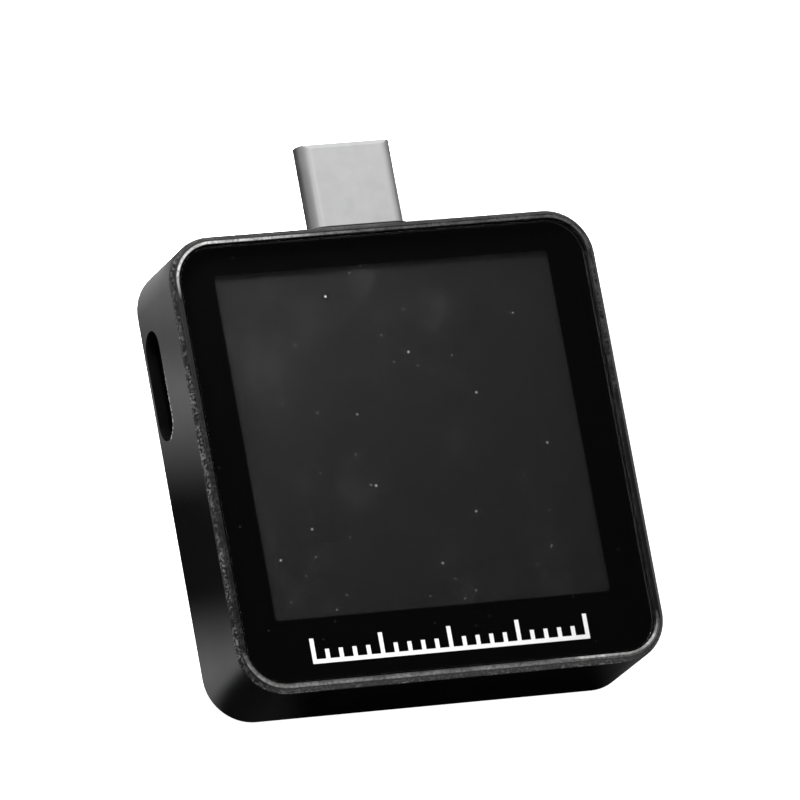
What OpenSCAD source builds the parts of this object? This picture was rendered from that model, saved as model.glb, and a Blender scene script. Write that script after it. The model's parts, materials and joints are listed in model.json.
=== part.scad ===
// Inline USB-C power meter: a square screen in a machined case, a plug on one end, a receptacle
// in the left wall, and a data port and a jog key in the right wall.
// Millimetres. The origin is the middle of the back face, +Y points out of the plug's end
// and +Z points out of the screen.

/* [Case] */
// Width of the case, left wall to right wall
case_w = 37.0; // [37:0.1:38]
// Height of the case, printed end to plug end
case_h = 38.4; // [38.4:0.1:39.4]
// Thickness of the case, back face to rim
case_t = 9.3; // [9.3:0.1:9.6]
// Radius of the case's upright corners
corner_r = 3.9; // [3.6:0.1:4]
// Chamfer round the front edge
front_chamfer = 0.4; // [0.3:0.05:0.6]
// Chamfer round the back edge
back_chamfer = 0.4; // [0.2:0.05:0.5]
// Thickness of the side walls beside the board
wall_t = 1.6; // [1.5:0.1:1.6]
// Thickness of the wall that is left in front of a port
port_wall_t = 0.9; // [0.8:0.1:1]
// Thickness of the back cover
cover_t = 0.6; // [0.5:0.05:0.6]

/* [Glass] */
// Distance from the case's outline to the edge of the glass
glass_inset = 0.8; // [0.65:0.05:0.8]
// Thickness of the glass
glass_t = 1.0; // [0.9:0.05:1]
// Depth of the glass below the rim
glass_recess = 0.1; // [0.05:0.05:0.15]
// Side of the clear square window
window_size = 29.0; // [28:0.1:29.4]
// Middle of the window above the middle of the case
window_y = 1.45; // [1.2:0.05:1.6]

/* [Printed scale] */
// Length of the printed scale
scale_w = 24.0; // [20:1:26]
// Width of every printed stroke
stroke_w = 0.36; // [0.3:0.02:0.5]
// Height of the printed scale
scale_h = 2.1; // [1.6:0.1:2.4]
// Number of divisions along the scale
scale_divisions = 20; // [10:5:30]

/* [Display] */
// Width of the display module
lcd_w = 31.52; // [31:0.02:31.6]
// Height of the display module
lcd_h = 33.72; // [33:0.02:33.8]
// Middle of the display module above the middle of the case
lcd_y = 0.35; // [0.3:0.05:0.4]
// Thickness of each of the two sheets of display glass
cell_t = 0.3; // [0.2:0.05:0.3]

/* [Board] */
// Thickness of the main board
board_t = 0.8; // [0.8:0.1:1]
// Height of the middle of the board above the back face
board_mid_z = 4.5; // [4.4:0.1:4.5]

/* [USB-C plug] */
// Width of the plug's shell
plug_w = 8.25; // [8.2:0.05:8.3]
// Height of the plug's shell
plug_h = 2.4; // [2.35:0.05:2.45]
// Length of the plug outside the case
plug_out = 8.1; // [7:0.1:8.2]
// Wall of the plug's shell
plug_wall = 0.25; // [0.2:0.05:0.25]
// Width of the collar at the plug's root
collar_w = 9.05; // [8.9:0.05:9.2]
// How far the collar stands out of the wall
collar_out = 0.95; // [0.2:0.05:1]

/* [USB-C receptacles] */
// Width of a receptacle's shell
port_w = 8.94; // [8.9:0.02:8.94]
// Height of a receptacle's shell
port_h = 3.2; // [3.2:0.05:3.3]
// Wall of a receptacle's shell
port_wall = 0.3; // [0.25:0.05:0.3]
// Length of a receptacle
port_len = 7.35; // [7:0.05:7.5]
// Middle of the pass-through receptacle, in the left wall
port_y = 8.85; // [8.5:0.05:8.9]
// Middle of the data port, in the right wall
data_port_y = 7.5; // [7:0.1:8]
// Depth of a receptacle's mouth below the wall
port_recess = 1.0; // [0.95:0.05:1.1]

/* [Jog key] */
// Middle of the jog key, in the right wall
jog_y = -7.0; // [-7.5:0.1:-6.5]
// How far the key stands out of the wall
key_out = 0.9; // [0.6:0.1:1.2]
// Width of the key's finger pad
key_w = 5.0; // [4.6:0.1:5]
// Thickness of the key
key_t = 2.0; // [1.8:0.1:2]
// Travel of the key when it is pressed
press_travel = 0.35; // [0.2:0.05:0.35]

/* [Fasteners] */
// Radius of the cover screws' heads
cover_head_r = 1.4; // [1.2:0.05:1.4]
// Radius of the cover screws' shanks
cover_shank_r = 0.65; // [0.5:0.05:0.7]
// Radius of the board screws' heads
board_head_r = 1.0; // [0.9:0.05:1.1]
// Radius of the board screws' shanks
board_shank_r = 0.5; // [0.4:0.05:0.55]

/* [Hidden] */
$fn = 48;

// Gap that assembled pieces keep, and the length by which a cutter runs past a face
gap = 0.05;
past = 1;

half_w = case_w / 2;
half_h = case_h / 2;

// Heights of the layers behind the glass, from the front down
glass_z1 = case_t - glass_recess;
glass_z0 = glass_z1 - glass_t;
mask_t = 0.05;
mask_z0 = glass_z0 - mask_t;
tape_t = 0.15;
ledge_z = glass_z0 - tape_t;
gasket_t = 0.3;
polariser_t = 0.13;
filter_z1 = mask_z0 - gasket_t - polariser_t;
filter_z0 = filter_z1 - cell_t;
tft_z0 = filter_z0 - cell_t;
rear_polariser_z0 = tft_z0 - polariser_t;
films_t = 0.2;
films_z0 = rear_polariser_z0 - films_t;
guide_t = 0.5;
guide_z0 = films_z0 - guide_t;
reflector_t = 0.1;
reflector_z0 = guide_z0 - reflector_t;
tray_t = 0.15;
lcd_bottom = reflector_z0 - tray_t;

// Outlines of the glass and of the case's hollows
glass_w = case_w - 2 * glass_inset;
glass_h = case_h - 2 * glass_inset;
glass_r = corner_r - glass_inset;
lower_w = case_w - 2 * wall_t;
lower_h = case_h - 2 * wall_t;
lower_r = corner_r - wall_t;
upper_w = 32.0;
upper_h = 35.0;
upper_r = 0.6;
cover_step = 0.7;
cover_w = lower_w + cover_step;
cover_h = lower_h + cover_step;
cover_r = lower_r + cover_step / 2;

// Display, all measured from the module's outline
lcd_x1 = lcd_w / 2;
lcd_y0 = lcd_y - lcd_h / 2;
lcd_y1 = lcd_y + lcd_h / 2;
cell_edge = 0.36;
driver_ledge = 2.6;

// Board
board_z0 = board_mid_z - board_t / 2;
board_z1 = board_mid_z + board_t / 2;
board_w = lower_w - 0.6;
board_h = lower_h - 0.4;

// Screws
screw_x = 14.9;
screw_y = 15.6;
block_in_x = 13.1;
block_in_y = 13.8;
block_out = 0.3;
lug_x = 11.5;
lug_y = 16.1;
lug_w = 3.2;
lug_in = 14.7;
lug_t = 1.0;
cover_screw_len = 3.2;
cone_slope = 0.6;
board_head_t = 0.6;

// USB-C parts
plug_tip = half_h + plug_out;
plug_root = half_h - 3.8;
// Length of the turned-in lip at the plug's mouth
plug_lip = 0.5;
port_r = 1.28 + port_wall;
port_z = board_z0 - port_h / 2;
slot_w = 9.2;
slot_h = 3.3;
pocket_half = 4.9;
contact_pitch = 0.5;
contact_w = 0.25;
contact_t = 0.08;
contacts_a_side = 12;
leg_places = [2.3, port_len - 1.9];
tongue_w = 6.69;
tongue_t = 0.7;
notch_w = 9.4;
notch_top = 1.75;

// Jog switch: pivot, housing and lever
jog_x = half_w - 4.9;
jog_z = 2.6;
jog_half = 3.9;
jog_x0 = jog_x - 3.7;
jog_x1 = jog_x + 2.1;
jog_wall = 0.8;
jog_z0 = 1.15;
jog_roof = 0.4;
jog_cover_t = 0.2;
dome_h = 0.25;
pivot_r = 0.5;
pivot_gap = 0.05;
hub_r = 1.1;
lever_t = 1.3;
stem_w = 2.2;
stem_end = half_w - port_wall_t - 0.1;
key_root = stem_end - 0.9;
key_neck_w = 3.6;
jog_slot_w = 7.2;
jog_slot_h = 2.4;
jog_slot_r = 0.4;

CASE_BLACK = "#17181a";
STEEL = "#b9bcc0";
DARK_STEEL = "#3c3d40";
GOLD = "#c9a24b";
BOARD_GREEN = "#1d3a2c";
CHIP_BLACK = "#202124";

// ---- Shared shapes ----

// Rectangle with round corners, centred on the origin
module round_rect(w, h, r) {
    square([w - 2 * r, h], center = true);
    square([w, h - 2 * r], center = true);
    for (sx = [-1, 1], sy = [-1, 1])
        translate([sx * (w / 2 - r), sy * (h / 2 - r)])
            circle(r);
}

// Upright plate between two heights, with round corners
module plate(w, h, r, z0, z1) {
    translate([0, 0, z0])
        linear_extrude(z1 - z0)
            round_rect(w, h, r);
}

// Upright box from its two corners
module block(x0, x1, y0, y1, z0, z1) {
    translate([x0, y0, z0])
        cube([x1 - x0, y1 - y0, z1 - z0]);
}

// Outline of half a slab, from its middle plane out to its chamfered edge
function slab_outline(half, z0, z1, back, front) = [
    [0, z0], [half - back, z0], [half, z0 + back],
    [half, z1 - front], [half - front, z1], [0, z1]
];

// The same outline on both sides of the middle plane
function slab_section(half, z0, z1, back, front) = [
    [back - half, z0], [half - back, z0], [half, z0 + back], [half, z1 - front],
    [half - front, z1], [front - half, z1], [-half, z1 - front], [-half, z0 + back]
];

// Slab with round upright corners and a chamfer round its back and front edges
module chamfered_slab(w, h, r, z0, z1, back, front) {
    rotate([90, 0, 0])
        linear_extrude(h - 2 * r, center = true)
            polygon(slab_section(w / 2, z0, z1, back, front));
    rotate([90, 0, 90])
        linear_extrude(w - 2 * r, center = true)
            polygon(slab_section(h / 2, z0, z1, back, front));
    for (sx = [-1, 1], sy = [-1, 1])
        translate([sx * (w / 2 - r), sy * (h / 2 - r), 0])
            rotate_extrude()
                polygon(slab_outline(r, z0, z1, back, front));
}

// Rectangle with fully round ends, centred on the origin
module stadium(w, h) {
    square([w - h, h], center = true);
    for (side = [-1, 1])
        translate([side * (w - h) / 2, 0])
            circle(h / 2);
}

// Turns a shape drawn flat so that it stands in the end wall and is extruded along +Y
module along_y(y0, y1, z) {
    translate([0, y1, z])
        rotate([90, 0, 0])
            linear_extrude(y1 - y0)
                children();
}

// Draws the children once in each of the four quarters
module four_corners(x, y) {
    for (sx = [-1, 1], sy = [-1, 1])
        translate([sx * x, sy * y, 0])
            children();
}

// ---- Enclosure ----

// Slot through the left or right wall for a USB-C receptacle, with its pocket inside
module port_cut(y) {
    translate([half_w - port_wall_t - past, y, port_z])
        rotate([90, 0, 90])
            linear_extrude(2 * past + port_wall_t)
                stadium(slot_w, slot_h);
    block(lower_w / 2 - past, half_w - port_wall_t,
          y - pocket_half, y + pocket_half, cover_t - gap, board_z1);
}

// Slot for the jog key, with a pocket inside for the switch's nose
module jog_cut() {
    translate([half_w - port_wall_t - past, jog_y, jog_z])
        rotate([90, 0, 90])
            linear_extrude(2 * past + port_wall_t)
                round_rect(jog_slot_w, jog_slot_h, jog_slot_r);
    block(lower_w / 2 - past, half_w - port_wall_t,
          jog_y - jog_half, jog_y + jog_half, cover_t - gap, board_z1);
}

// Opening in the plug's end wall, open to the back so that the plug can be lowered in
module plug_notch(clearance) {
    w = notch_w - 2 * clearance;
    top = board_mid_z + notch_top - clearance;
    r = 1.2;
    translate([-w / 2, cover_t])
        square([w, top - cover_t - r]);
    translate([-w / 2 + r, cover_t])
        square([w - 2 * r, top - cover_t]);
    for (side = [-1, 1])
        translate([side * (w / 2 - r), top - r])
            circle(r);
}

module case_frame() {
    color(CASE_BLACK)
    difference() {
        union() {
            difference() {
                chamfered_slab(case_w, case_h, corner_r, 0, case_t, back_chamfer, front_chamfer);
                plate(glass_w + 2 * gap, glass_h + 2 * gap, glass_r + gap, ledge_z, case_t + past);
                plate(upper_w, upper_h, upper_r, board_z1 - gap, ledge_z + past);
                plate(lower_w, lower_h, lower_r, -past, board_z1);
                plate(cover_w, cover_h, cover_r, -past, cover_t);
            }
            // Corner blocks take the cover screws
            for (sx = [0, 1], sy = [0, 1])
                mirror([sx, 0, 0])
                    mirror([0, sy, 0])
                        block(block_in_x, lower_w / 2 + block_out,
                              block_in_y, lower_h / 2 + block_out, cover_t, board_z1 + gap);
            // Lugs carry the board on one side and the display's pads on the other
            for (sx = [-1, 1], sy = [0, 1])
                mirror([0, sy, 0])
                    block(sx * lug_x - lug_w / 2, sx * lug_x + lug_w / 2,
                          lug_in, lower_h / 2 + block_out, board_z1, board_z1 + lug_t);
        }
        mirror([1, 0, 0])
            port_cut(port_y);
        port_cut(data_port_y);
        jog_cut();
        along_y(upper_h / 2 - past, half_h + past, 0)
            plug_notch(0);
        four_corners(screw_x, screw_y)
            translate([0, 0, cover_t - past])
                cylinder(r = cover_shank_r + gap, h = past + cover_screw_len);
        four_corners(lug_x, lug_y)
            translate([0, 0, board_z1 - past])
                cylinder(r = board_shank_r + gap, h = 2 * past + lug_t);
    }
}

// Head of a cover screw: a thin rim and a shallow cone down to the shank
module countersink(r) {
    rim = 0.08;
    cone_end = rim + cone_slope * (r - cover_shank_r);
    rotate_extrude()
        polygon([[0, 0], [r, 0], [r, rim], [cover_shank_r, cone_end], [0, cone_end]]);
}

module back_cover() {
    color(CASE_BLACK)
    difference() {
        plate(cover_w - 2 * gap, cover_h - 2 * gap, cover_r - gap, 0, cover_t);
        four_corners(screw_x, screw_y) {
            countersink(cover_head_r + 2 * gap);
            translate([0, 0, -past])
                cylinder(r = cover_head_r + 2 * gap, h = past + gap);
            translate([0, 0, -past])
                cylinder(r = cover_shank_r + 2 * gap, h = 2 * past + cover_t);
        }
    }
}

module cover_screws() {
    slot_l = 1.7;
    slot_t = 0.32;
    slot_depth = 0.35;
    head_recess = 0.04;
    color(STEEL)
    four_corners(screw_x, screw_y)
        difference() {
            translate([0, 0, head_recess])
                union() {
                    countersink(cover_head_r);
                    cylinder(r = cover_shank_r, h = cover_screw_len);
                }
            for (turn = [0, 90])
                rotate([0, 0, turn])
                    block(-slot_l / 2, slot_l / 2, -slot_t / 2, slot_t / 2, -past, slot_depth);
        }
}

module front_glass() {
    edge_back = 0.05;
    edge_front = 0.1;
    color("#0b0c0e", 0.4)
    chamfered_slab(glass_w, glass_h, glass_r, glass_z0, glass_z1, edge_back, edge_front);
}

// The strokes of the scale under the window, drawn flat
module scale_strokes() {
    edge_margin = 2.35;
    short_share = 0.55;
    long_every = 5;
    bottom = -half_h + edge_margin;
    step = (scale_w - stroke_w) / scale_divisions;
    translate([-scale_w / 2, bottom])
        square([scale_w, stroke_w]);
    for (i = [0 : scale_divisions]) {
        long = i % long_every == 0;
        translate([-scale_w / 2 + i * step, bottom])
            square([stroke_w, long ? scale_h : scale_h * short_share]);
    }
}

module border_print() {
    edge = 0.08;
    window_r = 0.3;
    color("#0a0a0b")
    difference() {
        plate(glass_w - 2 * edge, glass_h - 2 * edge, glass_r - edge, mask_z0, glass_z0);
        translate([0, window_y, 0])
            plate(window_size, window_size, window_r, mask_z0 - past, glass_z0 + past);
        translate([0, 0, mask_z0 - past])
            linear_extrude(mask_t + 2 * past)
                scale_strokes();
    }
}

module scale_print() {
    color("#f4f4f2")
    translate([0, 0, mask_z0])
        linear_extrude(mask_t)
            scale_strokes();
}

module glass_tape() {
    tape_in = 0.3;
    color("#2a2a2c")
    difference() {
        plate(glass_w - 2 * tape_in, glass_h - 2 * tape_in, glass_r - tape_in, ledge_z, mask_z0);
        plate(upper_w + tape_in, upper_h + tape_in, upper_r, ledge_z - past, glass_z0);
    }
}

module insulation_sheet() {
    sheet_t = 0.1;
    color("#c8c39a", 0.8)
    difference() {
        plate(lower_w - 1, lower_h - 1, lower_r, cover_t, cover_t + sheet_t);
        four_corners(half_w, half_h)
            block(-(half_w - block_in_x + gap), half_w - block_in_x + gap,
                  -(half_h - block_in_y + gap), half_h - block_in_y + gap, 0, 2 * cover_t);
    }
}

// ---- Display ----

// Sheet of the display between two heights, inset from the module's outline
module lcd_sheet(side, bottom, top, z0, z1) {
    block(-lcd_x1 + side, lcd_x1 - side, lcd_y0 + bottom, lcd_y1 - top, z0, z1);
}

module display_gasket() {
    lip = 0.4;
    color("#1a1a1a")
    difference() {
        lcd_sheet(0.2, 2.3, 0.2, mask_z0 - gasket_t, mask_z0);
        translate([0, window_y, 0])
            plate(window_size + 2 * lip, window_size + 2 * lip, 0.5,
                  mask_z0 - gasket_t - past, mask_z0 + past);
    }
}

module front_polariser() {
    color("#2b2c2e")
    lcd_sheet(0.7, 2.9, 0.6, filter_z1, filter_z1 + polariser_t);
}

module colour_filter_glass() {
    color("#5b6166", 0.6)
    lcd_sheet(cell_edge, driver_ledge, 0.3, filter_z0, filter_z1);
}

module tft_glass() {
    color("#6b7176", 0.6)
    lcd_sheet(cell_edge, 0.25, 0.3, tft_z0, filter_z0);
}

module rear_polariser() {
    color("#3a3b3d")
    lcd_sheet(0.7, 1.7, 0.6, rear_polariser_z0, tft_z0);
}

module display_driver() {
    driver_l = 12;
    driver_w = 0.9;
    driver_t = 0.25;
    color(CHIP_BLACK)
    block(-driver_l / 2, driver_l / 2, lcd_y0 + 1.3, lcd_y0 + 1.3 + driver_w,
          filter_z0, filter_z0 + driver_t);
}

module backlight_films() {
    color("#f2f2ee", 0.7)
    lcd_sheet(1.3, 1.1, 1.0, films_z0, rear_polariser_z0);
}

module light_guide() {
    color("#e8f0f4", 0.5)
    lcd_sheet(1.3, 2.4, 1.0, guide_z0, films_z0);
}

module reflector_sheet() {
    color("#f7f7f7")
    lcd_sheet(1.3, 1.1, 1.0, reflector_z0, guide_z0);
}

module backlight_frame() {
    color("#ececec")
    difference() {
        lcd_sheet(0.17, 0.17, 0.17, reflector_z0, rear_polariser_z0);
        lcd_sheet(1.2, 1.0, 0.9, reflector_z0 - past, rear_polariser_z0 + past);
    }
}

module backlight_tray() {
    side_t = 0.12;
    color(STEEL)
    difference() {
        lcd_sheet(0, 0, 0, lcd_bottom, films_z0 + films_t / 2);
        lcd_sheet(side_t, side_t, side_t, reflector_z0, case_t);
    }
}

module backlight_leds() {
    led_w = 3.0;
    led_y = 0.8;
    strip_t = 0.1;
    strip_y0 = lcd_y0 + 1.15;
    strip_y1 = lcd_y0 + 2.3;
    strip_half = 12;
    led_pitch = 6.5;
    color("#f0e9b0") {
        block(-strip_half, strip_half, strip_y0, strip_y1, guide_z0, guide_z0 + strip_t);
        for (i = [-1.5 : 1.5])
            block(i * led_pitch - led_w / 2, i * led_pitch + led_w / 2,
                  strip_y1 - led_y, strip_y1, guide_z0 + strip_t, films_z0);
    }
}

// Quarter ring about the X axis, cut from a full ring by a box that keeps one quarter
module flex_bend(width, y, z, r, t, keep_y, keep_z) {
    intersection() {
        translate([-width / 2, y, z])
            rotate([0, 90, 0])
                difference() {
                    cylinder(r = r, h = width);
                    translate([0, 0, -past])
                        cylinder(r = r - t, h = width + 2 * past);
                }
        translate([-width, y + min(0, keep_y), z + min(0, keep_z)])
            cube([2 * width, abs(keep_y), abs(keep_z)]);
    }
}

// Ribbon from the display's ledge, round the end of the module, down to the board
module display_flex() {
    width = 9;
    t = 0.1;
    r = 0.5;
    end_y = -lower_h / 2 + 0.3;
    bond_z = filter_z0;
    board_end = -13.2;
    color("#9a6a1f") {
        block(-width / 2, width / 2, end_y + r, lcd_y0 + 1.0, bond_z, bond_z + t);
        flex_bend(width, end_y + r, bond_z + t - r, r, t, -r, r);
        block(-width / 2, width / 2, end_y, end_y + t, board_z1 + r, bond_z + t - r);
        flex_bend(width, end_y + r, board_z1 + r, r, t, -r, -r);
        block(-width / 2, width / 2, end_y + r, board_end, board_z1, board_z1 + t);
    }
}

module foam_pads() {
    pad_x = 13.2;
    pad_w = 2.8;
    pad_y0 = -9;
    pad_y1 = 2;
    color("#2f3032")
    for (side = [-1, 1])
        block(side * pad_x - pad_w / 2, side * pad_x + pad_w / 2, pad_y0, pad_y1,
              board_z1, lcd_bottom);
}

// ---- Board ----

// The leg slots of a receptacle in the right wall
module port_leg_slots(y) {
    for (x = leg_places, side = [-1, 1])
        translate([half_w - port_recess - x, y + side * (port_w / 2 - port_wall / 2), 0])
            cube([1.3, 0.6, 20], center = true);
}

module main_board() {
    notch_x = block_in_x - 0.15;
    notch_y = block_in_y - 0.15;
    plug_gap_w = plug_w + 1.2;
    color(BOARD_GREEN)
    difference() {
        plate(board_w, board_h, 0.5, board_z0, board_z1);
        four_corners(half_w, half_h)
            block(-(half_w - notch_x), half_w - notch_x,
                  -(half_h - notch_y), half_h - notch_y, 0, case_t);
        block(-plug_gap_w / 2, plug_gap_w / 2, plug_root - gap, half_h, 0, case_t);
        four_corners(lug_x, lug_y)
            cylinder(r = board_shank_r + 2 * gap, h = case_t);
        port_leg_slots(data_port_y);
        mirror([1, 0, 0])
            port_leg_slots(port_y);
    }
}

module board_screws() {
    socket_r = 0.5;
    color(STEEL)
    four_corners(lug_x, lug_y)
        difference() {
            union() {
                translate([0, 0, board_z0 - board_head_t])
                    cylinder(r = board_head_r, h = board_head_t);
                translate([0, 0, board_z0 - gap])
                    cylinder(r = board_shank_r, h = gap + board_t + lug_t);
            }
            translate([0, 0, board_z0 - board_head_t - past])
                cylinder(r = socket_r, h = past + board_head_t / 2, $fn = 6);
        }
}

// ---- USB-C plug ----

// Sloping cut across one face of the plug's mouth, which leaves the round sides standing out
module nose_bevel() {
    bevel_len = 0.4;
    bevel_drop = 0.3;
    face = plug_h / 2;
    translate([-plug_w / 2, 0, 0])
        rotate([90, 0, 90])
            linear_extrude(plug_w)
                polygon([[plug_tip - bevel_len, face], [plug_tip, face - bevel_drop],
                         [plug_tip + past, face - bevel_drop], [plug_tip + past, face + past],
                         [plug_tip - bevel_len, face + past]]);
}

module plug_shell() {
    ear_w = 0.7;
    ear_x = 3.45;
    ear_t = 0.2;
    lip_side = 0.3;
    lip_face = 0.45;
    color("#c3c5c8") {
        difference() {
            along_y(plug_root, plug_tip, board_mid_z)
                stadium(plug_w, plug_h);
            along_y(plug_root - past, plug_tip - plug_lip, board_mid_z)
                stadium(plug_w - 2 * plug_wall, plug_h - 2 * plug_wall);
            along_y(plug_tip - plug_lip - past, plug_tip + past, board_mid_z)
                stadium(plug_w - 2 * lip_side, plug_h - 2 * lip_face);
            for (flip = [0, 1])
                translate([0, 0, board_mid_z])
                    mirror([0, 0, flip])
                        nose_bevel();
        }
        // Ears soldered to the top of the board
        for (side = [-1, 1])
            block(side * ear_x - ear_w / 2, side * ear_x + ear_w / 2, plug_root - 1.6,
                  plug_root + ear_t, board_z1, board_mid_z + plug_h / 2 - plug_wall / 2);
    }
}

module plug_insulator() {
    mouth_w = 6.9;
    mouth_h = 0.95;
    insulator_w = plug_w - 2 * plug_wall - 2 * gap;
    insulator_h = plug_h - 2 * plug_wall - 2 * gap;
    mouth_depth = 6.2;
    row_w = contacts_a_side * contact_pitch;
    row_h = board_t + 2 * contact_t + 0.02;
    channel_w = 1.8;
    tip = plug_tip - plug_lip - gap;
    color("#1b1b1d")
    difference() {
        along_y(plug_root + 0.6, tip, board_mid_z)
            stadium(insulator_w, insulator_h);
        along_y(tip - mouth_depth, tip + past, board_mid_z)
            stadium(mouth_w, mouth_h);
        along_y(plug_root, tip - 0.6, board_mid_z)
            square([row_w, row_h], center = true);
        // Side channels for the latch springs
        for (side = [-1, 1])
            along_y(plug_root + 2.5, tip - 0.6, board_mid_z)
                translate([side * insulator_w / 2, 0])
                    square([channel_w, 0.6], center = true);
    }
}

module plug_contacts() {
    front = plug_tip - 1.6;
    rear = plug_root - 1.4;
    color(GOLD)
    for (side = [-1, 1], i = [0 : contacts_a_side - 1]) {
        x = (i - (contacts_a_side - 1) / 2) * contact_pitch;
        z = board_mid_z + side * (board_t / 2 + contact_t / 2);
        translate([x, (front + rear) / 2, z])
            cube([contact_w, front - rear, contact_t], center = true);
    }
}

module plug_latch_springs() {
    arm_t = 0.18;
    arm_h = 0.5;
    arm_x = plug_w / 2 - plug_wall - 0.42;
    hook_y = plug_tip - 2.1;
    color(STEEL)
    for (side = [-1, 1]) {
        block(min(side * arm_x, side * (arm_x - arm_t)), max(side * arm_x, side * (arm_x - arm_t)),
              plug_root + 2.6, hook_y + 0.6, board_mid_z - arm_h / 2, board_mid_z + arm_h / 2);
        translate([side * (arm_x - arm_t), hook_y, board_mid_z - arm_h / 2])
            cylinder(r = 0.3, h = arm_h);
    }
}

module plug_collar() {
    flange_h = plug_h + 0.8;
    color("#101012")
    difference() {
        union() {
            along_y(half_h - wall_t, half_h, 0)
                plug_notch(gap);
            along_y(half_h - gap, half_h + collar_out, board_mid_z)
                stadium(collar_w, flange_h);
        }
        along_y(half_h - wall_t - past, half_h + collar_out + past, board_mid_z)
            stadium(plug_w + gap, plug_h + gap);
    }
}

// ---- USB-C receptacles, drawn in the right wall and mirrored into the left ----

// Turns a flat shape so that it is extruded inwards from the right wall's receptacle mouth
module from_mouth(y, start, length) {
    translate([half_w - port_recess - start - length, y, port_z])
        rotate([90, 0, 90])
            linear_extrude(length)
                children();
}

module receptacle_shell(y) {
    rear_t = 0.3;
    leg_rise = 0.25;
    color(DARK_STEEL) {
        difference() {
            from_mouth(y, 0, port_len)
                round_rect(port_w, port_h, port_r);
            from_mouth(y, -past, port_len + past - rear_t)
                round_rect(port_w - 2 * port_wall, port_h - 2 * port_wall, port_r - port_wall);
        }
        for (x = leg_places, side = [-1, 1])
            translate([half_w - port_recess - x, y + side * (port_w / 2 - port_wall / 2), 0])
                block(-0.5, 0.5, -port_wall / 2, port_wall / 2, port_z, board_z1 + leg_rise);
    }
}

module receptacle_tongue(y) {
    base_len = 1.9;
    tongue_len = 4.8;
    inner_w = port_w - 2 * port_wall - 2 * gap;
    inner_h = port_h - 2 * port_wall - 2 * gap;
    base_start = port_len - 0.35 - base_len;
    color("#141416")
    difference() {
        union() {
            from_mouth(y, base_start, base_len)
                round_rect(inner_w, inner_h, port_r - port_wall - gap);
            from_mouth(y, base_start - tongue_len + gap, tongue_len)
                round_rect(tongue_w, tongue_t, 0.15);
        }
        // Shallow beds that the contacts lie in
        for (side = [-1, 1])
            from_mouth(y, base_start - tongue_len + 0.9, tongue_len - 0.9)
                translate([0, side * tongue_t / 2])
                    square([contacts_a_side * contact_pitch + 0.1, 2 * contact_t], center = true);
    }
}

module receptacle_contacts(y) {
    length = 3.6;
    color(GOLD)
    for (side = [-1, 1], i = [0 : contacts_a_side - 1])
        from_mouth(y, port_len - 2.3 - length, length)
            translate([(i - (contacts_a_side - 1) / 2) * contact_pitch,
                       side * (tongue_t / 2 - contact_t / 2)])
                square([contact_w, contact_t], center = true);
}

module port_shell() {
    mirror([1, 0, 0])
        receptacle_shell(port_y);
}

module port_tongue() {
    mirror([1, 0, 0])
        receptacle_tongue(port_y);
}

module port_contacts() {
    mirror([1, 0, 0])
        receptacle_contacts(port_y);
}

module data_port_shell() {
    receptacle_shell(data_port_y);
}

module data_port_tongue() {
    receptacle_tongue(data_port_y);
}

module data_port_contacts() {
    receptacle_contacts(data_port_y);
}

// ---- Jog switch ----

module jog_base() {
    side_wall = 1.0;
    nose_half = 1.6;
    color("#2a2b2e")
    difference() {
        block(jog_x0, jog_x1, jog_y - jog_half + 0.1, jog_y + jog_half - 0.1, jog_z0, board_z0);
        block(jog_x0 + jog_wall, jog_x1 - jog_wall, jog_y - jog_half + side_wall,
              jog_y + jog_half - side_wall, jog_z0 - past, board_z0 - jog_roof);
        block(jog_x1 - 2 * jog_wall, jog_x1 + past, jog_y - nose_half, jog_y + nose_half,
              jog_z0 - past, board_z0 - jog_roof);
    }
}

module jog_cover() {
    color(STEEL)
    block(jog_x0, jog_x1, jog_y - jog_half + 0.1, jog_y + jog_half - 0.1,
          jog_z0 - jog_cover_t, jog_z0);
}

// Slides in the base along X and carries the lever's pivot pin
module jog_carriage() {
    floor_z0 = jog_z0 + 0.1;
    floor_t = 0.45;
    rib_x = jog_x0 + jog_wall + dome_h + press_travel + 0.1;
    rib_t = 0.55;
    pin_top = board_z0 - jog_roof - 0.15;
    color("#d9d4c4") {
        block(rib_x, jog_x + 1.2, jog_y - 2.6, jog_y + 2.6, floor_z0, floor_z0 + floor_t);
        block(rib_x, rib_x + rib_t, jog_y - 0.6, jog_y + 0.6, floor_z0, jog_z + lever_t / 2);
        translate([jog_x, jog_y, floor_z0])
            cylinder(r = pivot_r, h = pin_top - floor_z0);
    }
}

module jog_lever() {
    ear_reach = 1.9;
    ear_half = 0.35;
    ear_t = 0.8;
    color("#3a3c40")
    translate([jog_x, jog_y, jog_z])
        difference() {
            union() {
                cylinder(r = hub_r, h = lever_t, center = true);
                block(0, stem_end - jog_x, -stem_w / 2, stem_w / 2, -lever_t / 2, lever_t / 2);
                block(-ear_half, ear_half, -ear_reach, ear_reach, -ear_t / 2, ear_t / 2);
            }
            cylinder(r = pivot_r + pivot_gap, h = 2 * lever_t, center = true);
        }
}

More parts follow.
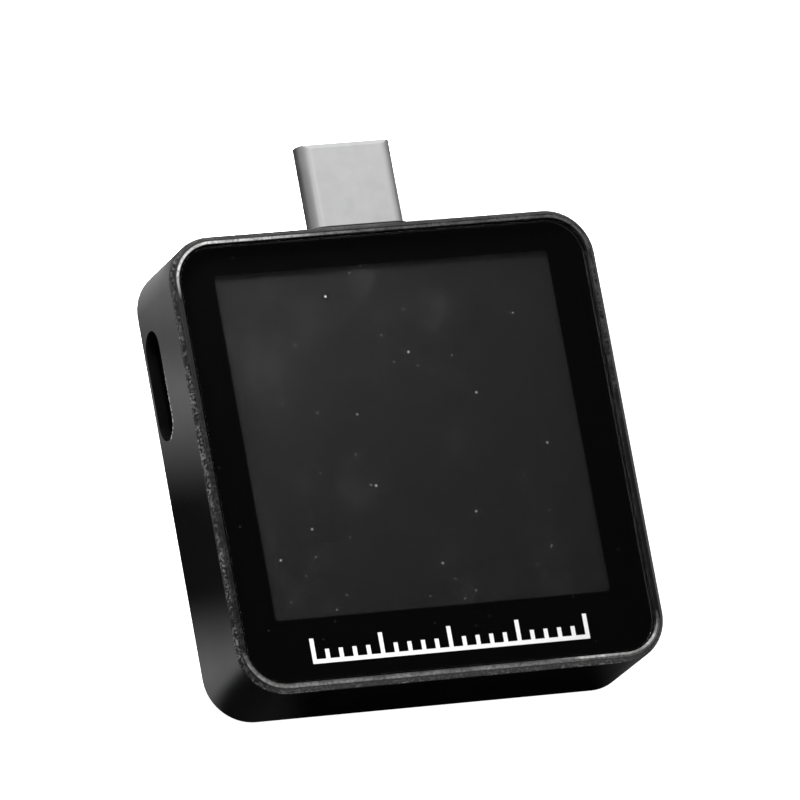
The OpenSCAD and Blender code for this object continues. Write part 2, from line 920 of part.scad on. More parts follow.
// Cap pressed on the lever's stem from outside the case, with a ribbed round pad
module jog_key() {
    pad_r = 4.6;
    pad_x = half_w + key_out;
    rib_r = 0.16;
    rib_turns = [-24, -12, 0, 12, 24];
    color("#26272a")
    difference() {
        union() {
            intersection() {
                translate([pad_x - pad_r, jog_y, jog_z])
                    cylinder(r = pad_r, h = key_t, center = true);
                block(half_w - 0.5, pad_x + past, jog_y - key_w / 2, jog_y + key_w / 2, 0, case_t);
            }
            block(key_root, half_w, jog_y - key_neck_w / 2, jog_y + key_neck_w / 2,
                  jog_z - key_t / 2, jog_z + key_t / 2);
        }
        block(key_root - past, stem_end + gap, jog_y - stem_w / 2, jog_y + stem_w / 2,
              jog_z - lever_t / 2, jog_z + lever_t / 2);
        // Finger grooves across the pad
        for (turn = rib_turns)
            translate([pad_x - pad_r + pad_r * cos(turn), jog_y + pad_r * sin(turn), jog_z])
                cylinder(r = rib_r, h = key_t + past, center = true);
    }
}

module jog_dome() {
    dome_r = 1.1;
    shoulder_r = 0.7;
    shoulder_h = 0.18;
    color(STEEL)
    translate([jog_x0 + jog_wall, jog_y, jog_z])
        rotate([0, 90, 0])
            rotate_extrude()
                polygon([[0, 0], [dome_r, 0], [shoulder_r, shoulder_h], [0, dome_h]]);
}

module jog_leaf_springs() {
    leaf_x = jog_x - 1.3;
    leaf_t = 0.12;
    leaf_len = 1.7;
    leaf_mid = 2.05;
    leaf_half = 0.5;
    color(GOLD)
    for (side = [-1, 1])
        block(leaf_x, leaf_x + leaf_t, jog_y + side * leaf_mid - leaf_len / 2,
              jog_y + side * leaf_mid + leaf_len / 2, jog_z - leaf_half, jog_z + leaf_half);
}

// ---- Electronic parts on the board ----

// Chip on the top (+1) or the underside (-1) of the board, with a dimple at its first pin
module chip(x, y, w, l, t, side) {
    z = side > 0 ? board_z1 : board_z0 - t;
    dimple = 0.2;
    dimple_z = side > 0 ? z + t : z;
    translate([x, y, 0])
        difference() {
            block(-w / 2, w / 2, -l / 2, l / 2, z, z + t);
            translate([-w / 2 + 3 * dimple, l / 2 - 3 * dimple, dimple_z])
                cylinder(r = dimple, h = dimple / 2, center = true);
        }
}

module shunt_resistor() {
    x = -2.6;
    y = 11.6;
    l = 6.3;
    w = 3.2;
    t = 0.6;
    end_l = 1.5;
    end_t = 0.15;
    color("#6e5a48")
    union() {
        block(x - l / 2, x + l / 2, y - w / 2, y + w / 2, board_z0 - t, board_z0 - end_t);
        for (side = [-1, 1])
            block(x + side * (l - end_l) / 2 - end_l / 2, x + side * (l - end_l) / 2 + end_l / 2,
                  y - w / 2, y + w / 2, board_z0 - end_t - gap, board_z0);
    }
}

module pass_mosfets() {
    color(CHIP_BLACK)
    for (y = [8.2, 12.0])
        chip(4.6, y, 3.3, 3.3, 0.9, -1);
}

module measuring_chip() {
    color(CHIP_BLACK)
    chip(5.5, 6.5, 4, 4, 0.8, 1);
}

module microcontroller() {
    color(CHIP_BLACK)
    chip(-3.5, -2, 7, 7, 0.85, 1);
}

module flash_chip() {
    color(CHIP_BLACK)
    chip(6.0, -3, 5, 4, 0.75, 1);
}

module power_delivery_chip() {
    color(CHIP_BLACK)
    chip(-4.5, 3.5, 4, 4, 0.8, -1);
}

module regulator_chip() {
    color(CHIP_BLACK)
    chip(2.5, -11.5, 3, 3, 1.0, -1);
}

module inductor() {
    side = 4.2;
    height = 2.0;
    color("#4a4b4d")
    translate([-3, -10.5, 0])
        plate(side, side, 0.8, board_z0 - height, board_z0);
}

module crystal() {
    height = 0.7;
    color(STEEL)
    translate([-3.5, 6.5, 0])
        plate(3.2, 2.5, 0.3, board_z1, board_z1 + height);
}

module ceramic_capacitors() {
    length = 1.6;
    width = 0.8;
    t = 0.8;
    color("#b08a5a") {
        for (i = [0 : 4])
            translate([-12 + i * 1.6, -4, 0])
                block(-width / 2, width / 2, -length / 2, length / 2, board_z0 - t, board_z0);
        for (i = [0 : 3])
            translate([0.5 + i * 1.6, -6, 0])
                block(-width / 2, width / 2, -length / 2, length / 2, board_z0 - t, board_z0);
        for (i = [0 : 3])
            translate([-9.5, -1.5 + i * 1.7, 0])
                block(-length / 2, length / 2, -width / 2, width / 2, board_z1, board_z1 + t);
    }
}

module chip_resistors() {
    length = 1.0;
    width = 0.5;
    t = 0.35;
    color("#2b2b2f")
    for (row = [0 : 1], i = [0 : 5])
        translate([-4.5 + i * 1.8, 9.8 + row * 1.8, 0])
            block(-width / 2, width / 2, -length / 2, length / 2, board_z1, board_z1 + t);
}

case_frame();
back_cover();
cover_screws();
front_glass();
border_print();
scale_print();
glass_tape();
insulation_sheet();
display_gasket();
front_polariser();
colour_filter_glass();
tft_glass();
rear_polariser();
display_driver();
backlight_films();
light_guide();
reflector_sheet();
backlight_frame();
backlight_tray();
backlight_leds();
display_flex();
foam_pads();
main_board();
board_screws();
plug_shell();
plug_insulator();
plug_contacts();
plug_latch_springs();
plug_collar();
port_shell();
port_tongue();
port_contacts();
data_port_shell();
data_port_tongue();
data_port_contacts();
jog_base();
jog_cover();
jog_carriage();
jog_lever();
jog_key();
jog_dome();
jog_leaf_springs();
shunt_resistor();
pass_mosfets();
measuring_chip();
microcontroller();
flash_chip();
power_delivery_chip();
regulator_chip();
inductor();
crystal();
ceramic_capacitors();
chip_resistors();
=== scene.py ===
"""Looks of the inline USB-C power meter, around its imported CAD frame. Lengths are in metres."""
import json
import math

import bmesh
import bpy
from mathutils import Matrix, Vector


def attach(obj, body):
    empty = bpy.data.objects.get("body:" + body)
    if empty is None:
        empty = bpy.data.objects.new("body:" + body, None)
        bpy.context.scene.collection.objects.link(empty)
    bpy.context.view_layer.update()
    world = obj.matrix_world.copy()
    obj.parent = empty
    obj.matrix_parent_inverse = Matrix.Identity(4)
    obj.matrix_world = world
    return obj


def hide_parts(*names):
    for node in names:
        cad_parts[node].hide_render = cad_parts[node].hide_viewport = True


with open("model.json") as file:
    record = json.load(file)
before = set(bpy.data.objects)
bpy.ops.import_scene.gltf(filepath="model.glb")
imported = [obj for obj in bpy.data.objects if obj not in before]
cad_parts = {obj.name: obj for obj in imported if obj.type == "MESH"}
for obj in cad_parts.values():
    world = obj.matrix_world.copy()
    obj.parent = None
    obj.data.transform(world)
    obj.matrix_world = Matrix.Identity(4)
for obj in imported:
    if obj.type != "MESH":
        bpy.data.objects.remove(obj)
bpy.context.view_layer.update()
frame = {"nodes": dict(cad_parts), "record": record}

MM = 0.001

# The view: where the camera looks, from how far, and how it is turned.
AIM = Vector((1.05, 5.42, 4.65)) * MM
DISTANCE = 975.8 * MM
ELEVATION = math.radians(64.07)
HEADING = math.radians(56.03)
ROLL = math.radians(48.33)
LENS = 541.3
CLIP_START = 0.05
CLIP_END = 10

# The case, for wear and a painted highlight along its edges
HALF_W = 18.5 * MM
HALF_H = 19.2 * MM
CORNER_R = 3.9 * MM
FRONT_Z = 9.3 * MM
CHAMFER = 0.4 * MM
SLOT_Y = 8.85 * MM
SLOT_Z = 2.5 * MM
SLOT_HALF_STRAIGHT = 2.95 * MM
SLOT_RADIUS = 1.65 * MM

# The stage: heights and half sizes of its sheets, and the key light
FLOOR_HALF = 1.5
FLOOR_Z = -0.05 * MM
CARD_HALF = 60 * MM
CARD_Z = -0.5 * MM
KEY_PLACE = Vector((-32, 50, 34)) * MM
KEY_TARGET = Vector((0, 5, 8)) * MM
KEY_SIZE = 26 * MM
KEY_WATTS = 0.178

# Bright patches of the studio: direction, inner and outer angle in degrees, strength
BEYOND_PLUG = ((0.15, 0.72, 0.68), 15, 60, 1.1)
BEFORE_SCALE = ((0.36, -0.9, 0.25), 15, 40, 0.55)
WINDOW = ((0.3, 0.9, 0.37), 8, 14, 1.0)
# The dark patch that the glass mirrors to the camera: inner and outer angle, share of light left
MIRRORED_DARK = (4, 9, 0.04)

# Meshes: distance at which vertices are merged, angle up to which faces are one flat, angle from
# which an edge is sharp, and steps in a softened edge
WELD = 0.001 * MM
FLAT_ANGLE = math.radians(0.4)
SHARP_ANGLE = math.radians(32)
SOFT_STEPS = 4

# Size of the finest grain, and how far roughness varies either side of its middle
GRAIN = 0.05 * MM
METAL_SPREAD = 0.05
MOULDED_SPREAD = 0.06
MOULDED_SHADE = 0.8


# ---- Node shorthand ----

class Tree:
    """A node tree, with short calls for the nodes that the materials and the world use."""

    def __init__(self, tree, place):
        self.nodes = tree.nodes
        self.links = tree.links
        self.place = self.nodes.new("ShaderNodeTexCoord").outputs[place]

    def put(self, socket, value):
        """Links a socket or sets a plain value."""
        if isinstance(value, bpy.types.NodeSocket):
            self.links.new(value, socket)
        else:
            socket.default_value = value

    def math(self, operation, *values):
        node = self.nodes.new("ShaderNodeMath")
        node.operation = operation
        for socket, value in zip(node.inputs, values):
            self.put(socket, value)
        return node.outputs[0]

    def times(self, *values):
        product = values[0]
        for value in values[1:]:
            product = self.math("MULTIPLY", product, value)
        return product

    def ramp(self, value, low, high, to_low=0.0, to_high=1.0):
        """Smooth step from to_low to to_high while value goes from low to high."""
        node = self.nodes.new("ShaderNodeMapRange")
        node.interpolation_type = "SMOOTHSTEP"
        for name, number in (("Value", value), ("From Min", low), ("From Max", high),
                             ("To Min", to_low), ("To Max", to_high)):
            self.put(node.inputs[name], number)
        return node.outputs["Result"]

    def most(self, *values):
        largest = values[0]
        for value in values[1:]:
            largest = self.math("MAXIMUM", largest, value)
        return largest

    def away(self, value, centre):
        """Distance of a value from a centre."""
        return self.math("ABSOLUTE", self.math("SUBTRACT", value, centre))

    def length(self, a, b):
        return self.math("SQRT", self.math("ADD", self.math("POWER", a, 2.0),
                                           self.math("POWER", b, 2.0)))

    def toward(self, direction, inner, outer, to_inner, to_outer):
        """Goes from to_inner to to_outer between two angles, in degrees, round a direction."""
        dot = self.nodes.new("ShaderNodeVectorMath")
        dot.operation = "DOT_PRODUCT"
        self.links.new(self.place, dot.inputs[0])
        dot.inputs[1].default_value = Vector(direction).normalized()
        return self.ramp(dot.outputs["Value"], math.cos(math.radians(outer)),
                         math.cos(math.radians(inner)), to_outer, to_inner)

    def axes(self):
        node = self.nodes.new("ShaderNodeSeparateXYZ")
        self.put(node.inputs[0], self.place)
        return node.outputs


class Shader(Tree):
    """A material with a Principled shader."""

    def __init__(self, name):
        self.mat = bpy.data.materials.new(name)
        self.mat.use_nodes = True
        super().__init__(self.mat.node_tree, "Object")
        self.bsdf = self.nodes["Principled BSDF"]
        self.out = self.nodes["Material Output"]

    def set(self, **values):
        """Sets inputs of the Principled shader; underscores stand for spaces."""
        for key, value in values.items():
            self.put(self.bsdf.inputs[key.replace("_", " ")], value)

    def clear_where(self, share):
        """Makes the surface see-through where the share is one."""
        clear = self.nodes.new("ShaderNodeBsdfTransparent")
        mixed = self.nodes.new("ShaderNodeMixShader")
        self.put(mixed.inputs[0], share)
        self.put(mixed.inputs[1], self.bsdf.outputs[0])
        self.put(mixed.inputs[2], clear.outputs[0])
        self.put(self.out.inputs["Surface"], mixed.outputs[0])

    def mix(self, share, first, second):
        node = self.nodes.new("ShaderNodeMix")
        node.data_type = "RGBA"
        self.put(node.inputs["Factor"], share)
        for name, value in (("A", first), ("B", second)):
            socket = next(s for s in node.inputs if s.name == name and s.type == "RGBA")
            self.put(socket, value)
        return next(s for s in node.outputs if s.type == "RGBA")

    def stretched(self, x=1.0, y=1.0, z=1.0):
        node = self.nodes.new("ShaderNodeMapping")
        self.put(node.inputs["Vector"], self.place)
        node.inputs["Scale"].default_value = (x, y, z)
        return node.outputs[0]

    def noise(self, size, detail=3.0, rough=0.5, along=None):
        """Cloudy noise whose features are about size metres across, from 0 to 1."""
        node = self.nodes.new("ShaderNodeTexNoise")
        self.put(node.inputs["Vector"], along or self.place)
        node.inputs["Scale"].default_value = 1 / size
        node.inputs["Detail"].default_value = detail
        node.inputs["Roughness"].default_value = rough
        return node.outputs["Fac"]

    def cells(self, size, along=None, flat=False):
        """Distance to the nearest of many scattered points, size metres apart."""
        node = self.nodes.new("ShaderNodeTexVoronoi")
        node.voronoi_dimensions = "2D" if flat else "3D"
        self.put(node.inputs["Vector"], along or self.place)
        node.inputs["Scale"].default_value = 1 / size
        return node.outputs["Distance"]

    def specks(self, size, radius, share):
        """Small dots of a radius, on about a share of the points of a scatter."""
        dots = self.ramp(self.cells(size, flat=True), 0.5 * radius / size, radius / size, 1.0, 0.0)
        return self.times(dots, self.ramp(self.noise(1.7 * size, detail=1), 1 - share,
                                          1.05 - share))

    def bump(self, height, depth, strength, after=None):
        """Normals bent by a height of depth metres, on top of the normals after, if given."""
        node = self.nodes.new("ShaderNodeBump")
        self.put(node.inputs["Height"], height)
        node.inputs["Distance"].default_value = depth
        node.inputs["Strength"].default_value = strength
        if after is not None:
            self.put(node.inputs["Normal"], after)
        return node.outputs["Normal"]


def grey(level, tint=(1.0, 1.0, 1.0)):
    return tuple(level * t for t in tint) + (1.0,)


DUST = grey(0.8)
BARE_METAL = grey(0.72, (1.0, 0.99, 0.98))


# ---- Materials ----

def anodised():
    """Black anodised, bead-blasted aluminium, worn to bare metal in places at its front edges."""
    s = Shader("anodised_black")
    x, y, z = s.axes()
    grain = s.noise(GRAIN, detail=2)
    cloud = s.noise(4 * MM, detail=4)
    patch = s.noise(1.6 * MM, detail=4)
    fleck = s.noise(0.24 * MM, detail=4, rough=0.65)
    # Distance inwards from the case's outline
    past_x = s.math("SUBTRACT", s.away(x, 0.0), HALF_W - CORNER_R)
    past_y = s.math("SUBTRACT", s.away(y, 0.0), HALF_H - CORNER_R)
    corner = s.length(s.most(past_x, 0.0), s.most(past_y, 0.0))
    straight = s.math("MINIMUM", s.most(past_x, past_y), 0.0)
    inset = s.math("SUBTRACT", CORNER_R, s.math("ADD", corner, straight))
    # The flat land round the glass has lost some of its black. A thin bare line runs along the
    # top, strongest at the upper left corner, and a wider, uneven one at the lower right. The
    # whole width is partly worn along the bottom, and hardly at all along the sides
    off_line = s.away(inset, s.ramp(y, -10 * MM, 10 * MM, 0.70 * MM, 0.60 * MM))
    thin_line = s.ramp(off_line, 0.06 * MM, 0.15 * MM, 1.0, 0.0)
    wide_line = s.ramp(off_line, 0.10 * MM, 0.20 * MM, 1.0, 0.0)
    at_top = s.ramp(y, 13.5 * MM, 17 * MM)
    at_bottom = s.ramp(y, -14.5 * MM, -17.5 * MM)
    top = s.times(thin_line, at_top, s.ramp(x, 0.0, -15 * MM, 0.17, 0.92))
    chipped = s.times(wide_line, at_bottom, s.ramp(x, 6 * MM, 10 * MM),
                      s.ramp(cloud, 0.42, 0.56, 0.4, 1.0))
    bottom = s.times(at_bottom, s.ramp(x, 4 * MM, 12 * MM, 0.40, 0.2),
                     s.ramp(inset, 0.52 * MM, 0.74 * MM, 1.0, 0.45))
    side = s.times(s.ramp(x, -17 * MM, 17 * MM, 0.010, 0.04),
                   s.ramp(y, -2 * MM, 9 * MM, 1.0, 2.0))
    on_land = s.ramp(z, FRONT_Z - 0.03 * MM, FRONT_Z - 0.01 * MM)
    land = s.times(on_land, s.most(top, chipped, bottom, side),
                   s.ramp(patch, 0.3, 0.6, 0.6, 1.0), s.ramp(fleck, 0.35, 0.6, 0.5, 1.0))
    # The chamfer's outer edge is rubbed in places, and its face is scuffed, less towards the plug
    # and towards the land. The light grey of the scuffing is also a painted highlight on the
    # chamfer's outer part, and its thinning towards the plug is painted shade
    lower = s.away(z, FRONT_Z - CHAMFER)
    outer = s.times(s.ramp(lower, 0.02 * MM, 0.12 * MM, 1.0, 0.0),
                    s.ramp(patch, 0.40, 0.60, 0.1, 1.0), s.ramp(fleck, 0.42, 0.62, 0.2, 1.0),
                    s.ramp(y, 10 * MM, 14 * MM, 0.3, 0.1))
    on_chamfer = s.ramp(z, FRONT_Z - 1.3 * CHAMFER, FRONT_Z - 0.95 * CHAMFER)
    scuffs_and_painted_highlight = s.times(on_chamfer, s.ramp(fleck, 0.47, 0.57), s.ramp(patch, 0.38, 0.58, 0.3, 1.0),
                     s.ramp(y, -3 * MM, 14 * MM, 1.0, 0.25),
                     s.ramp(inset, 0.2 * MM, 0.36 * MM, 1.0, 0.15))
    # The edge of the receptacle's opening in the left wall is rubbed too
    reach = s.length(s.most(s.math("SUBTRACT", s.away(y, SLOT_Y), SLOT_HALF_STRAIGHT), 0.0),
                     s.away(z, SLOT_Z))
    slot = s.times(s.ramp(s.away(reach, SLOT_RADIUS), 0.10 * MM, 0.28 * MM, 1.0, 0.0),
                   s.ramp(fleck, 0.48, 0.56), s.ramp(x, -18.2 * MM, -18.4 * MM),
                   s.ramp(y, 11 * MM, 7 * MM), s.ramp(z, SLOT_Z, SLOT_Z + 0.5 * MM), 0.8)
    bare = s.most(land, outer, slot)
    # Where the land is still black it is rubbed smooth, and mirrors the dark as the glass does
    rubbed = s.most(s.ramp(z, FRONT_Z - 0.06 * MM, FRONT_Z - 0.02 * MM, 1.0, 0.45),
                    s.ramp(bare, 0.02, 0.06))
    black = s.mix(cloud, grey(0.0006), grey(0.0012))
    # Black with light grey scuffing on the chamfer: partly real scuff marks, partly a painted
    # highlight and painted shade
    scuffed_with_painted_highlight = s.mix(scuffs_and_painted_highlight, black, grey(0.076))
    s.set(Base_Color=s.mix(bare, scuffed_with_painted_highlight, BARE_METAL),
          Metallic=s.ramp(bare, 0.0, 0.03, 0.0, 0.85),
          Roughness=s.times(s.ramp(cloud, 0.2, 0.8, 0.26, 0.33), rubbed),
          Normal=s.bump(scuffs_and_painted_highlight, 0.010 * MM, 0.5, after=s.bump(grain, 0.003 * MM, 0.3)))
    return s.mat


def polished_glass():
    """Clear cover glass. Shadow rays pass straight through, so the layers behind it are lit."""
    s = Shader("cover_glass")
    smudge = s.noise(5 * MM, detail=5, rough=0.6)
    streak = s.noise(1.2 * MM, detail=3, along=s.stretched(1.0, 0.35, 1.0))
    s.set(Base_Color=grey(1.0), Roughness=s.ramp(smudge, 0.45, 0.75, 0.02, 0.06),
          Normal=s.bump(streak, 0.002 * MM, 0.05))
    s.bsdf.inputs["Transmission Weight"].default_value = 1.0
    s.bsdf.inputs["IOR"].default_value = 1.50
    s.clear_where(s.nodes.new("ShaderNodeLightPath").outputs["Is Shadow Ray"])
    return s.mat


def printed(name, low, high):
    """Screen print bonded to the glass: an even film with faint grain and a few dust specks."""
    s = Shader(name)
    grain = s.noise(GRAIN, detail=2)
    dust = s.specks(3.7 * MM, 0.09 * MM, 0.5)
    film = s.mix(s.noise(2 * MM, detail=4), grey(low), grey(high))
    s.set(Base_Color=s.mix(s.times(dust, 0.03), film, DUST),
          Roughness=s.ramp(grain, 0.3, 0.7, 0.45, 0.6), Normal=s.bump(grain, 0.002 * MM, 0.2))
    s.bsdf.inputs["Specular IOR Level"].default_value = 0.0
    return s.mat


def polariser():
    """Neutral grey film over a dark switched-off display, with dust and a faint smudge."""
    s = Shader("polariser_grey")
    mottle = s.noise(3 * MM, detail=5, rough=0.6)
    weave = s.noise(0.4 * MM, detail=2)
    dust = s.most(s.specks(3.1 * MM, 0.07 * MM, 0.5), s.specks(7.3 * MM, 0.12 * MM, 0.6))
    smear = s.ramp(s.noise(6 * MM, detail=6, rough=0.65, along=s.stretched(1.0, 0.6, 1.0)),
                   0.52, 0.68, 0.0, 0.004)
    film = s.mix(mottle, grey(0.0029), grey(0.0035))
    s.set(Base_Color=s.mix(s.math("ADD", s.times(dust, 0.25), smear), film, DUST),
          Roughness=s.ramp(mottle, 0.3, 0.7, 0.40, 0.5), Normal=s.bump(weave, 0.002 * MM, 0.1))
    s.bsdf.inputs["Specular IOR Level"].default_value = 0.05
    return s.mat


def metal(name, colour, roughness, stretch=(1.0, 1.0, 1.0), shade=0.95):
    """Metal with fine directional grain and cloudy roughness. Its colour clouds down to shade."""
    s = Shader(name)
    grain = s.noise(GRAIN, detail=3, along=s.stretched(*stretch))
    cloud = s.noise(2.2 * MM, detail=5, rough=0.6)
    dull = tuple(shade * c for c in colour) + (1.0,)
    s.set(Base_Color=s.mix(cloud, dull, tuple(colour) + (1.0,)), Metallic=1.0,
          Roughness=s.ramp(cloud, 0.25, 0.75, roughness - METAL_SPREAD, roughness + METAL_SPREAD),
          Normal=s.bump(grain, 0.003 * MM, 0.25))
    return s.mat


def moulded(name, colour, roughness, size=0.08 * MM, depth=0.004 * MM):
    """Moulded plastic, rubber, epoxy or ceramic with a fine surface texture and faint clouds."""
    s = Shader(name)
    grain = s.noise(size, detail=4, rough=0.6)
    cloud = s.noise(1.5 * MM, detail=4)
    dark = tuple(MOULDED_SHADE * c for c in colour) + (1.0,)
    s.set(Base_Color=s.mix(cloud, dark, tuple(colour) + (1.0,)),
          Roughness=s.ramp(cloud, 0.25, 0.75, roughness - MOULDED_SPREAD,
                           roughness + MOULDED_SPREAD),
          Normal=s.bump(grain, depth, 0.5))
    return s.mat


def circuit_board():
    """Green solder mask over a woven glass base, with copper tracks raising it in places."""
    s = Shader("solder_mask")
    weave = s.math("ADD", s.cells(0.4 * MM, along=s.stretched(1.0, 0.2, 1.0)),
                   s.cells(0.4 * MM, along=s.stretched(0.2, 1.0, 1.0)))
    tracks = s.ramp(s.noise(1.4 * MM, detail=2), 0.49, 0.53)
    mask_on_base, mask_on_copper = (0.006, 0.035, 0.018, 1), (0.012, 0.075, 0.035, 1)
    s.set(Base_Color=s.mix(tracks, mask_on_base, mask_on_copper),
          Roughness=s.ramp(weave, 0.2, 1.2, 0.28, 0.42), Normal=s.bump(tracks, 0.01 * MM, 0.6))
    return s.mat


# ---- Meshes ----

def sharp_edges(bm, angle):
    return [e for e in bm.edges if len(e.link_faces) == 2 and e.calc_face_angle(0) > angle]


def round_edges(bm, edges, width, segments):
    bmesh.ops.bevel(bm, geom=edges, offset=width, offset_type="OFFSET", segments=segments,
                    profile=0.5, affect="EDGES", clamp_overlap=True)
    bm.normal_update()


def finish_mesh(bm, name):
    """Turns a bmesh into an object with smooth faces and sharp edges kept sharp."""
    bm.normal_update()
    for face in bm.faces:
        face.smooth = True
    for edge in bm.edges:
        edge.smooth = len(edge.link_faces) == 2 and edge.calc_face_angle(0) < SHARP_ANGLE
    mesh = bpy.data.meshes.new(name)
    bm.to_mesh(mesh)
    bm.free()
    piece = bpy.data.objects.new(name, mesh)
    bpy.context.scene.collection.objects.link(piece)
    weighted = piece.modifiers.new("weighted", "WEIGHTED_NORMAL")
    weighted.keep_sharp = True
    return piece


def dress(node, name, width, segments, body, soft_z, soft_width):
    """A copy of a CAD node with flat faces merged and its sharp edges rounded by width metres.

    Sharp edges that lie at the height soft_z, if any, are first rounded by soft_width.
    """
    bm = bmesh.new()
    bm.from_mesh(frame["nodes"][node].data)
    bmesh.ops.remove_doubles(bm, verts=bm.verts, dist=WELD)
    bmesh.ops.dissolve_limit(bm, angle_limit=FLAT_ANGLE, verts=bm.verts, edges=bm.edges,
                             delimit={"NORMAL"})
    bm.normal_update()
    if soft_z is not None:
        soft = [e for e in sharp_edges(bm, SHARP_ANGLE)
                if all(abs(v.co.z - soft_z) < WELD for v in e.verts)]
        round_edges(bm, soft, soft_width, SOFT_STEPS)
    round_edges(bm, sharp_edges(bm, SHARP_ANGLE), width, segments)
    piece = finish_mesh(bm, name)
    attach(piece, body)
    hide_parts(node)
    return piece


def coat(piece, material):
    piece.data.materials.clear()
    piece.data.materials.append(material)


# ---- Stage, camera and light ----

def view_direction():
    return Vector((math.cos(ELEVATION) * math.sin(HEADING),
                   math.cos(ELEVATION) * math.cos(HEADING), -math.sin(ELEVATION)))


def make_camera():
    forward = view_direction()
    level = forward.cross(Vector((0, 0, 1))).normalized()
    upright = level.cross(forward)
    right = math.cos(ROLL) * level + math.sin(ROLL) * upright
    up = right.cross(forward)
    data = bpy.data.cameras.new("camera")
    data.lens = LENS
    data.clip_start = CLIP_START
    data.clip_end = CLIP_END
    camera = bpy.data.objects.new("camera", data)
    turn = Matrix((right, up, -forward)).transposed().to_4x4()
    camera.matrix_world = Matrix.Translation(AIM - DISTANCE * forward) @ turn
    bpy.context.scene.collection.objects.link(camera)
    bpy.context.scene.camera = camera


def make_sheet(name, half_size, z):
    """A flat square sheet of the stage, at a height."""
    bm = bmesh.new()
    bmesh.ops.create_grid(bm, x_segments=1, y_segments=1, size=half_size,
                          matrix=Matrix.Translation((0, 0, z)))
    sheet = finish_mesh(bm, name)
    return sheet


def make_floor():
    """Pale floor that glows a little, so that the shadow on it stays faint.

    It is see-through from below, so that it doesn't hide the back cover.
    """
    floor = make_sheet("floor", FLOOR_HALF, FLOOR_Z)
    s = Shader("floor_pale")
    pale = s.mix(s.noise(20 * MM), grey(0.86), grey(0.88))
    s.set(Base_Color=pale, Roughness=0.9, Emission_Color=grey(1.0), Emission_Strength=0.9)
    s.bsdf.inputs["Specular IOR Level"].default_value = 0.1
    s.clear_where(s.nodes.new("ShaderNodeNewGeometry").outputs["Backfacing"])
    floor.data.materials.append(s.mat)
    floor.visible_glossy = False


def make_reflector():
    """Glowing card under the floor that only reflections see, as a table's sheen would be.

    Along the left wall it glows in two stretches, one towards the plug's end and a short one
    towards the other end. It is faint beside the plug and right of the case, and glows evenly
    under the case and further out, for the other views.
    """
    card = make_sheet("reflector", CARD_HALF, CARD_Z)
    s = Shader("reflector_glow")
    x, y, _ = s.axes()
    far = s.times(s.ramp(y, -1 * MM, 9.5 * MM, 0.02, 0.70),
                  s.ramp(s.away(y, 13.5 * MM), 0.0, 4.5 * MM, 0.62, 1.0),
                  s.ramp(y, 20.5 * MM, 23 * MM, 1.0, 0.05))
    near = s.times(s.ramp(y, -7.5 * MM, -16.0 * MM, 0.0, 0.70),
                   s.ramp(y, -16.5 * MM, -18.8 * MM, 1.0, 0.0))
    left = s.times(s.ramp(x, -13 * MM, -9 * MM, 1.0, 0.0), s.math("ADD", far, near))
    beside_plug = s.times(s.ramp(x, -13 * MM, -9 * MM), s.ramp(y, 15 * MM, 20 * MM), 0.06)
    right = s.times(s.ramp(x, 15 * MM, 22 * MM), 0.14)
    outwards = s.most(s.away(x, 0.0), s.away(y, 0.0))
    around = s.times(s.ramp(outwards, 33 * MM, 41 * MM), 0.6)
    under = s.times(s.ramp(outwards, 16.5 * MM, 18 * MM, 1.0, 0.0), 0.4)
    glow = s.most(s.math("ADD", left, beside_plug), right, around, under)
    s.set(Base_Color=grey(0.0), Emission_Color=grey(1.0), Emission_Strength=glow)
    s.bsdf.inputs["Specular IOR Level"].default_value = 0.0
    card.data.materials.append(s.mat)
    card.visible_camera = False
    card.visible_diffuse = False
    card.visible_transmission = False
    card.visible_shadow = False


def make_key():
    """Soft light close by, on the side of the plug and the left wall."""
    data = bpy.data.lights.new("key", "AREA")
    data.shape = "DISK"
    data.size = KEY_SIZE
    data.energy = KEY_WATTS
    key = bpy.data.objects.new("key", data)
    turn = (KEY_TARGET - KEY_PLACE).to_track_quat("-Z", "Y").to_matrix().to_4x4()
    key.matrix_world = Matrix.Translation(KEY_PLACE) @ turn
    bpy.context.scene.collection.objects.link(key)
    key.visible_camera = False
    key.visible_glossy = False


def make_world():
    """Soft studio light, seen by the camera as plain white.

    Everything else is lit by a soft dome, dim below the horizon, with the bright patches named
    above. All but the window is dark where the glass mirrors the camera.
    """
    world = bpy.data.worlds.new("studio")
    world.use_nodes = True
    bpy.context.scene.world = world
    t = Tree(world.node_tree, "Generated")
    _, _, up = t.axes()
    mirrored = view_direction()
    mirrored.z = -mirrored.z
    dome = t.ramp(up, -0.40, 0.05, 0.04, 0.32)
    hole = t.toward(mirrored, *MIRRORED_DARK, 1.0)
    beyond, before, window = (t.toward(*patch, 0.0)
                              for patch in (BEYOND_PLUG, BEFORE_SCALE, WINDOW))
    soft = t.math("ADD", t.math("ADD", dome, beyond), before)
    lit = t.math("ADD", t.times(soft, hole), window)
    seen = t.nodes.new("ShaderNodeLightPath").outputs["Is Camera Ray"]
    background = t.nodes["Background"]
    t.put(background.inputs["Strength"], t.math("MAXIMUM", seen, lit))
    background.inputs["Color"].default_value = grey(1.0)


# ---- The object ----

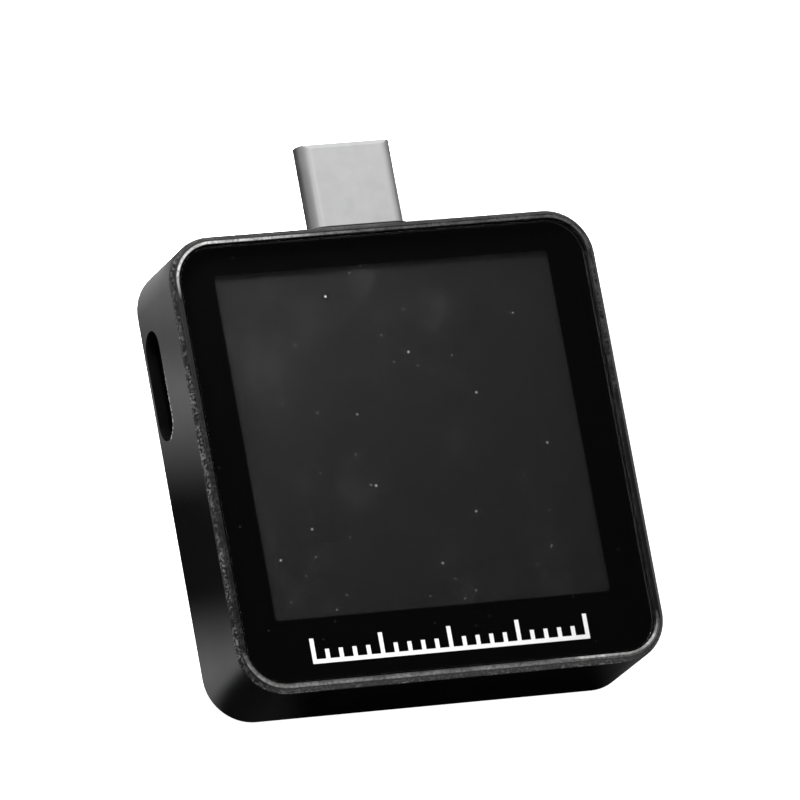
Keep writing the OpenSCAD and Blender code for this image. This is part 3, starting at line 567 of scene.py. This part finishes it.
MATERIALS = {
    "black_aluminium": anodised(),
    "screw_steel": metal("black_oxide", (0.018, 0.018, 0.019), 0.38),
    "bright_steel": metal("rolled_steel", (0.60, 0.60, 0.61), 0.32, stretch=(1, 0.1, 1)),
    "nickel_plate": metal("nickel", (0.765, 0.765, 0.77), 0.44, stretch=(1, 0.08, 1),
                          shade=0.70),
    "gold_plate": metal("gold", (0.78, 0.55, 0.20), 0.28),
    "clear_glass": polished_glass(),
    "display_glass": moulded("display_cell", (0.02, 0.021, 0.022), 0.15, depth=0.001 * MM),
    "black_ink": printed("ink_black", 0.0003, 0.0006),
    "white_ink": printed("ink_white", 0.74, 0.80),
    "polariser_film": polariser(),
    "black_foam": moulded("foam_black", (0.006, 0.006, 0.0063), 0.85, size=0.15 * MM,
                          depth=0.03 * MM),
    "white_plastic": moulded("plastic_white", (0.80, 0.80, 0.78), 0.5),
    "clear_plastic": moulded("acrylic", (0.78, 0.82, 0.84), 0.12, depth=0.001 * MM),
    "amber_film": moulded("polyimide", (0.40, 0.19, 0.04), 0.3),
    "circuit_board": circuit_board(),
    "chip_epoxy": moulded("epoxy_black", (0.018, 0.018, 0.019), 0.5),
    "ferrite": moulded("ferrite_grey", (0.07, 0.07, 0.075), 0.6),
    "capacitor_ceramic": moulded("ceramic_tan", (0.40, 0.27, 0.15), 0.45),
    "resistor_body": moulded("resistor_glaze", (0.02, 0.02, 0.022), 0.25),
    "shunt_alloy": metal("alloy", (0.42, 0.34, 0.28), 0.4, stretch=(0.1, 1, 1)),
    "black_plastic": moulded("plastic_black", (0.002, 0.002, 0.0021), 0.45),
    "ivory_plastic": moulded("acetal_ivory", (0.62, 0.56, 0.42), 0.35),
}
SLOT_OF = {entry["node"]: entry["material_slot"] for entry in frame["record"]["subparts"]}

# Name of the dressed piece, rounding of its edges and number of steps in it, by node
ROUNDED = {
    "case_frame": ("case_shell", 0.05 * MM, 3),
    "back_cover": ("cover_plate", 0.04 * MM, 2),
    "cover_screws": ("screw_heads", 0.025 * MM, 2),
    "front_glass": ("glass_pane", 0.015 * MM, 2),
    "plug_shell": ("plug_sleeve", 0.05 * MM, 3),
    "plug_insulator": ("plug_core", 0.03 * MM, 2),
    "plug_collar": ("plug_surround", 0.10 * MM, 3),
    "port_shell": ("port_sleeve", 0.05 * MM, 3),
    "port_tongue": ("port_blade", 0.03 * MM, 2),
    "data_port_shell": ("data_port_sleeve", 0.05 * MM, 3),
    "data_port_tongue": ("data_port_blade", 0.03 * MM, 2),
    "jog_base": ("jog_housing", 0.04 * MM, 2),
    "jog_key": ("jog_cap", 0.06 * MM, 3),
}
# Height of the edges rounded more, and their rounding, by node
SOFT_EDGE = {"case_frame": (FRONT_Z - CHAMFER, 0.12 * MM)}
# Body of the dressed pieces that don't ride the case
BODY_OF = {"jog_key": "jog_tilter"}


def dress_node(node):
    slot = SLOT_OF[node]
    if node in ROUNDED:
        name, width, segments = ROUNDED[node]
        soft_z, soft_width = SOFT_EDGE.get(node, (None, 0.0))
        piece = dress(node, name, width, segments, BODY_OF.get(node, "case"), soft_z, soft_width)
    else:
        piece = frame["nodes"][node]
    coat(piece, MATERIALS[slot])


make_camera()
make_floor()
make_reflector()
make_key()
make_world()
for node_name in SLOT_OF:
    dress_node(node_name)
bpy.context.scene.view_settings.view_transform = "Standard"
